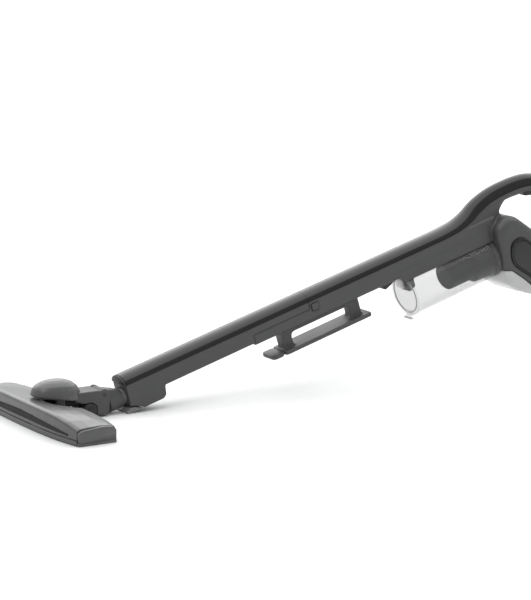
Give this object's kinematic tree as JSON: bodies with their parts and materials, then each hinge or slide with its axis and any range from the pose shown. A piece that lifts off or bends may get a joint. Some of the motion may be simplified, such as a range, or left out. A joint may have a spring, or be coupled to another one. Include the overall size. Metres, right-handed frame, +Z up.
{
  "type": "stick vacuum cleaner",
  "caption": "Slim two-in-one stick vacuum: hand unit with loop handle, clear dust cup and cord winder on a detachable tube, with a swivelling floor head.",
  "frame": {"origin": "centre of the floor head's sole, on the floor", "axes": "+X from the floor head towards the handle, +Z up, Y across the head; the part is the same on both sides of y = 0"},
  "size_m": [1.0993, 0.346, 0.3387],
  "materials": {
    "gloss_black": "polished black with soft reflections",
    "body_grey": "fine spark texture, dark grey",
    "head_satin": "satin dark grey",
    "trim_dark": "dark matt",
    "button_grey": "mid grey satin",
    "rubber_black": "matt",
    "tyre_black": "matt tread",
    "clear_cup": "clear, slightly cool",
    "frosted_cover": "translucent light grey",
    "steel_bright": "turned",
    "steel_dark": "blackened steel",
    "filter_white": "pleated paper",
    "filter_dark": "fine mesh, dark grey",
    "board_green": "solder mask",
    "bristle_black": "short dense bristle"
  },
  "bodies": {
    "hand_unit": {"hand_cap": "gloss_black", "hand_shell_left": "body_grey", "hand_shell_right": "body_grey", "vent_cover_left": "trim_dark", "vent_cover_right": "trim_dark", "vent_ring_left": "gloss_black", "vent_ring_right": "gloss_black", "exhaust_cover": "frosted_cover", "exhaust_filter": "filter_white", "motor_can": "steel_bright", "motor_mount": "rubber_black", "switch_body": "trim_dark", "circuit_board": "board_green", "cord_gland": "rubber_black", "cord_winder": "body_grey", "winder_screw_front": "steel_bright", "winder_screw_rear": "steel_bright"},
    "motor_rotor": {"impeller": "button_grey", "motor_shaft": "steel_bright"},
    "hook": {"cord_hook": "body_grey"},
    "cup_button": {"cup_release_button": "trim_dark"},
    "trigger": {"power_trigger": "trim_dark"},
    "tube_button_left": {"tube_release_button_left": "body_grey"},
    "tube_button_right": {"tube_release_button_right": "body_grey"},
    "cup": {"dust_cup": "clear_cup", "inlet_duct": "trim_dark", "cup_rim": "trim_dark", "filter_cage": "filter_dark", "hepa_filter": "filter_white", "lid_pin": "steel_bright"},
    "lid": {"cup_lid": "clear_cup", "lid_seal": "frosted_cover"},
    "latch": {"lid_latch": "frosted_cover"},
    "tube": {"tube_cap": "gloss_black", "tube_end_cap": "trim_dark", "tube_shell": "body_grey", "tube_seal": "rubber_black"},
    "head_button": {"head_release_button": "button_grey"},
    "coupling": {"coupler": "button_grey", "coupler_seal": "rubber_black"},
    "swivel": {"knuckle": "body_grey"},
    "neck": {"neck_shell": "body_grey", "hood": "head_satin", "float_pin": "steel_dark", "pitch_pin": "steel_dark", "neck_hose": "rubber_black", "rear_axle": "steel_dark"},
    "wheel_left": {"rear_wheel_left": "tyre_black"},
    "wheel_right": {"rear_wheel_right": "tyre_black"},
    "head": {"sole_plate": "head_satin", "head_cover": "head_satin", "bumper_strip": "rubber_black", "end_cap_left": "head_satin", "end_cap_right": "head_satin", "bristle_strip_front": "bristle_black", "bristle_strip_rear": "bristle_black"},
    "front_roller_left": {"roller_left": "tyre_black"},
    "front_roller_right": {"roller_right": "tyre_black"}
  },
  "joints": [
    {"name": "motor_spin", "type": "hinge", "parent": "hand_unit", "child": "motor_rotor", "pos_m": [0.92659, 0, 0.20969], "axis": [0.9579, 0, 0.287], "continuous": true},
    {"name": "hook_fold", "type": "hinge", "parent": "hand_unit", "child": "hook", "pos_m": [0.43888, 0, 0.06471], "axis": [0, -1, 0], "range_deg": [0, 90]},
    {"name": "cup_button_press", "type": "slide", "parent": "hand_unit", "child": "cup_button", "axis": [-0.287, 0, 0.9579], "range_m": [0, 0.004], "stiffness_N_per_m": 400, "springref_m": -0.004},
    {"name": "trigger_press", "type": "slide", "parent": "hand_unit", "child": "trigger", "axis": [-0.287, 0, 0.9579], "range_m": [0, 0.004], "stiffness_N_per_m": 400, "springref_m": -0.004},
    {"name": "tube_button_left_press", "type": "slide", "parent": "hand_unit", "child": "tube_button_left", "axis": [0, 1, 0], "range_m": [0, 0.0018], "stiffness_N_per_m": 500, "springref_m": -0.002},
    {"name": "tube_button_right_press", "type": "slide", "parent": "hand_unit", "child": "tube_button_right", "axis": [0, -1, 0], "range_m": [0, 0.0018], "stiffness_N_per_m": 500, "springref_m": -0.002},
    {"name": "cup_pull", "type": "slide", "parent": "hand_unit", "child": "cup", "axis": [0.287, 0, -0.9579], "range_m": [0, 0.1]},
    {"name": "lid_swing", "type": "hinge", "parent": "cup", "child": "lid", "pos_m": [0.70522, 0, 0.10014], "axis": [0, -1, 0], "range_deg": [0, 100]},
    {"name": "latch_press", "type": "slide", "parent": "lid", "child": "latch", "axis": [0.287, 0, -0.9579], "range_m": [0, 0.003], "stiffness_N_per_m": 300, "springref_m": -0.004},
    {"name": "tube_pull", "type": "slide", "parent": "hand_unit", "child": "tube", "axis": [-0.9579, 0, -0.287], "range_m": [0, 0.17]},
    {"name": "head_button_press", "type": "slide", "parent": "tube", "child": "head_button", "axis": [-0.287, 0, 0.9579], "range_m": [0, 0.0015], "stiffness_N_per_m": 500, "springref_m": -0.003},
    {"name": "head_pull", "type": "slide", "parent": "tube", "child": "coupling", "axis": [-0.9579, 0, -0.287], "range_m": [0, 0.045]},
    {"name": "head_swivel", "type": "hinge", "parent": "coupling", "child": "swivel", "pos_m": [0.14561, 0, 0.02893], "axis": [0.9579, 0, 0.287], "range_deg": [-90, 90]},
    {"name": "neck_pitch", "type": "hinge", "parent": "swivel", "child": "neck", "pos_m": [0.092, 0, 0.036], "axis": [0, 1, 0], "range_deg": [-5, 68]},
    {"name": "head_float", "type": "hinge", "parent": "neck", "child": "head", "pos_m": [0.014, 0, 0.052], "axis": [0, 1, 0], "range_deg": [-4, 4]},
    {"name": "wheel_left_spin", "type": "hinge", "parent": "neck", "child": "wheel_left", "pos_m": [0.066, -0.017, 0.0126], "axis": [0, 1, 0], "continuous": true},
    {"name": "wheel_right_spin", "type": "hinge", "parent": "neck", "child": "wheel_right", "pos_m": [0.066, 0.017, 0.0126], "axis": [0, 1, 0], "continuous": true},
    {"name": "roller_left_spin", "type": "hinge", "parent": "head", "child": "front_roller_left", "pos_m": [-0.022, -0.155, 0.0051], "axis": [0, 1, 0], "continuous": true},
    {"name": "roller_right_spin", "type": "hinge", "parent": "head", "child": "front_roller_right", "pos_m": [-0.022, 0.155, 0.0051], "axis": [0, 1, 0], "continuous": true}
  ]
}
